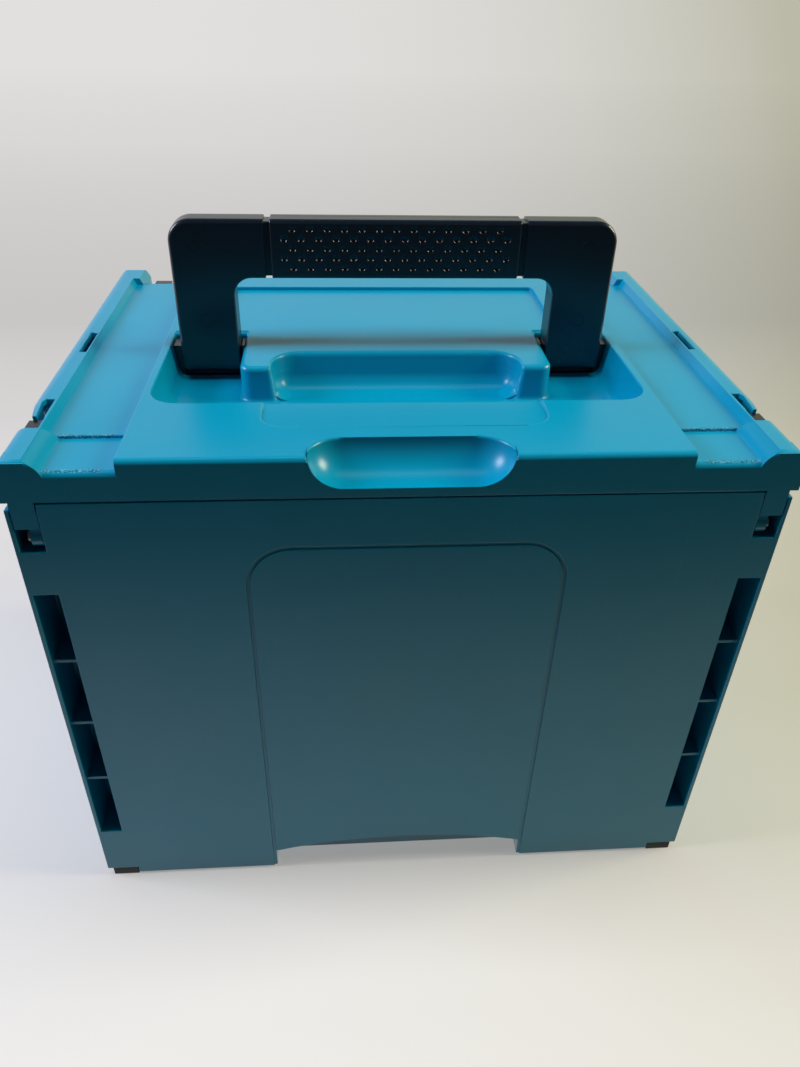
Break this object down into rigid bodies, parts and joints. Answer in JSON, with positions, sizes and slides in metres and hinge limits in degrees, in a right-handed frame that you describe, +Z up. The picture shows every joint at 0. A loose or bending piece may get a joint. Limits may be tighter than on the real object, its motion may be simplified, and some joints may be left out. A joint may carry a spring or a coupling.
{
  "type": "hard tool case",
  "caption": "Teal stacking hard tool case with a hinged lid, a fold-down black carrying handle, hook latches and foot pads.",
  "frame": {"origin": "on the floor under the centre of the case", "axes": "+Z up; +X across the width; -Y towards the front, +Y towards the hinges at the back"},
  "size_m": [0.396, 0.296, 0.396],
  "materials": {
    "case_plastic": "semi-gloss moulded, fine texture",
    "black_plastic": "satin black moulded",
    "pin_steel": "bright",
    "foot_rubber": "matte"
  },
  "bodies": {
    "case_body": {"body": "case_plastic", "hinge_pin_left": "pin_steel", "hinge_pin_right": "pin_steel", "latch_pin_rear_left": "pin_steel", "latch_pin_rear_right": "pin_steel", "latch_pin_front_left": "pin_steel", "latch_pin_front_right": "pin_steel", "foot_rear_left": "foot_rubber", "foot_rear_right": "foot_rubber", "foot_front_left": "foot_rubber", "foot_front_right": "foot_rubber"},
    "lid_assembly": {"lid": "case_plastic", "handle_bearing_left": "black_plastic", "handle_bearing_right": "black_plastic", "handle_pin_left": "pin_steel", "handle_pin_right": "pin_steel", "bearing_screws": "pin_steel"},
    "handle": {"handle_frame": "black_plastic", "grip_back": "black_plastic", "grip_front": "black_plastic"},
    "rear_latch_left": {"latch_rear_left": "black_plastic"},
    "rear_latch_right": {"latch_rear_right": "black_plastic"},
    "front_latch_left": {"latch_front_left": "black_plastic"},
    "front_latch_right": {"latch_front_right": "black_plastic"}
  },
  "joints": [
    {"name": "lid_hinge", "type": "hinge", "parent": "case_body", "child": "lid_assembly", "pos_m": [0, 0.142, 0.2768], "axis": [-1, 0, 0], "range_deg": [0, 90]},
    {"name": "handle_fold", "type": "hinge", "parent": "lid_assembly", "child": "handle", "pos_m": [0, -0.003, 0.3135], "axis": [-1, 0, 0], "range_deg": [0, 90]},
    {"name": "rear_latch_left_swing", "type": "hinge", "parent": "case_body", "child": "rear_latch_left", "pos_m": [-0.1915, 0.0902, 0.252], "axis": [0, -1, 0], "range_deg": [0, 40]},
    {"name": "rear_latch_right_swing", "type": "hinge", "parent": "case_body", "child": "rear_latch_right", "pos_m": [0.1915, 0.0902, 0.252], "axis": [0, 1, 0], "range_deg": [0, 40]},
    {"name": "front_latch_left_swing", "type": "hinge", "parent": "case_body", "child": "front_latch_left", "pos_m": [-0.1482, -0.143, 0.252], "axis": [1, 0, 0], "range_deg": [0, 40]},
    {"name": "front_latch_right_swing", "type": "hinge", "parent": "case_body", "child": "front_latch_right", "pos_m": [0.1482, -0.143, 0.252], "axis": [1, 0, 0], "range_deg": [0, 40]}
  ]
}
